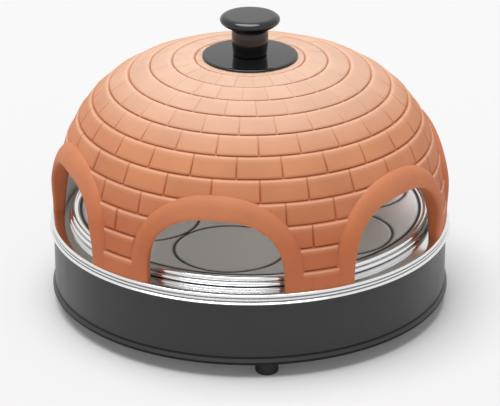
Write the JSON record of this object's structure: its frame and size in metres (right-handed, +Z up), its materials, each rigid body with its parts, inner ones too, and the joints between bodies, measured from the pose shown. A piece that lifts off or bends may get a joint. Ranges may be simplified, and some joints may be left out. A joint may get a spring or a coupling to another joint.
{
  "type": "electric pizza maker",
  "caption": "Round electric pizza oven: black steel base with two heating rings, a stainless baking plate, and a lift-off terracotta dome with arched windows and a black knob.",
  "frame": {"origin": "centre of the footprint, on the surface the feet stand on", "axes": "+Z up through the knob, -Y towards the front, +X to the right"},
  "size_m": [0.3976, 0.3976, 0.292],
  "materials": {
    "black_paint": "satin",
    "pan_steel": "galvanised",
    "plated_steel": "zinc plated",
    "foot_rubber": "matte",
    "polished_steel": "mirror polished stainless steel",
    "shield_aluminium": "mill finish",
    "element_steel": "dull oxidised",
    "white_ceramic": "unglazed",
    "moulded_beige": "moulded",
    "fuse_aluminium": "drawn can",
    "brown_sleeve": "flexible sleeve",
    "blue_sleeve": "flexible sleeve",
    "green_sleeve": "flexible sleeve",
    "gland_rubber": "matte",
    "black_nylon": "moulded",
    "red_rocker": "gloss",
    "terracotta": "unglazed fired clay",
    "grey_mica": "pressed sheet",
    "black_phenolic": "gloss",
    "turned_brass": "turned"
  },
  "bodies": {
    "base": {"outer_housing": "black_paint", "bottom_pan": "pan_steel", "pan_brackets": "pan_steel", "pan_screws": "plated_steel", "foot_front": "foot_rubber", "foot_right": "foot_rubber", "foot_back": "foot_rubber", "foot_left": "foot_rubber", "foot_screws": "plated_steel", "foot_nuts": "plated_steel", "trim_ring": "polished_steel", "reflector_bowl": "polished_steel", "heat_shield": "shield_aluminium", "shield_spacers": "shield_aluminium", "shield_screws": "plated_steel", "lower_heating_element": "element_steel", "lower_element_clips": "plated_steel", "upper_heating_element": "element_steel", "upper_element_bracket": "plated_steel", "element_bushings": "white_ceramic", "thermostat": "moulded_beige", "thermal_fuse": "fuse_aluminium", "terminal_block": "moulded_beige", "switch_lead": "brown_sleeve", "live_lead": "brown_sleeve", "element_lead": "brown_sleeve", "neutral_lead": "blue_sleeve", "earth_lead": "green_sleeve", "cord_gland": "gland_rubber", "gland_nut": "black_nylon", "switch_housing": "black_nylon"},
    "switch": {"switch_rocker": "red_rocker"},
    "plate": {"baking_plate": "polished_steel"},
    "dome": {"terracotta_dome": "terracotta", "knob_gasket": "grey_mica", "knob_flange": "black_phenolic", "knob_grip": "black_phenolic", "knob_insert": "turned_brass", "knob_screw": "plated_steel", "knob_washer": "plated_steel"}
  },
  "joints": [
    {"name": "rocker_tilt", "type": "hinge", "parent": "base", "child": "switch", "pos_m": [0.096, 0.16628, 0.048], "axis": [0, 0, 1], "range_deg": [0, 16]},
    {"name": "plate_lift", "type": "slide", "parent": "base", "child": "plate", "axis": [0, 0, 1], "range_m": [0, 0.02]},
    {"name": "dome_lift", "type": "slide", "parent": "base", "child": "dome", "axis": [0, 0, 1], "range_m": [0, 0.26]}
  ]
}
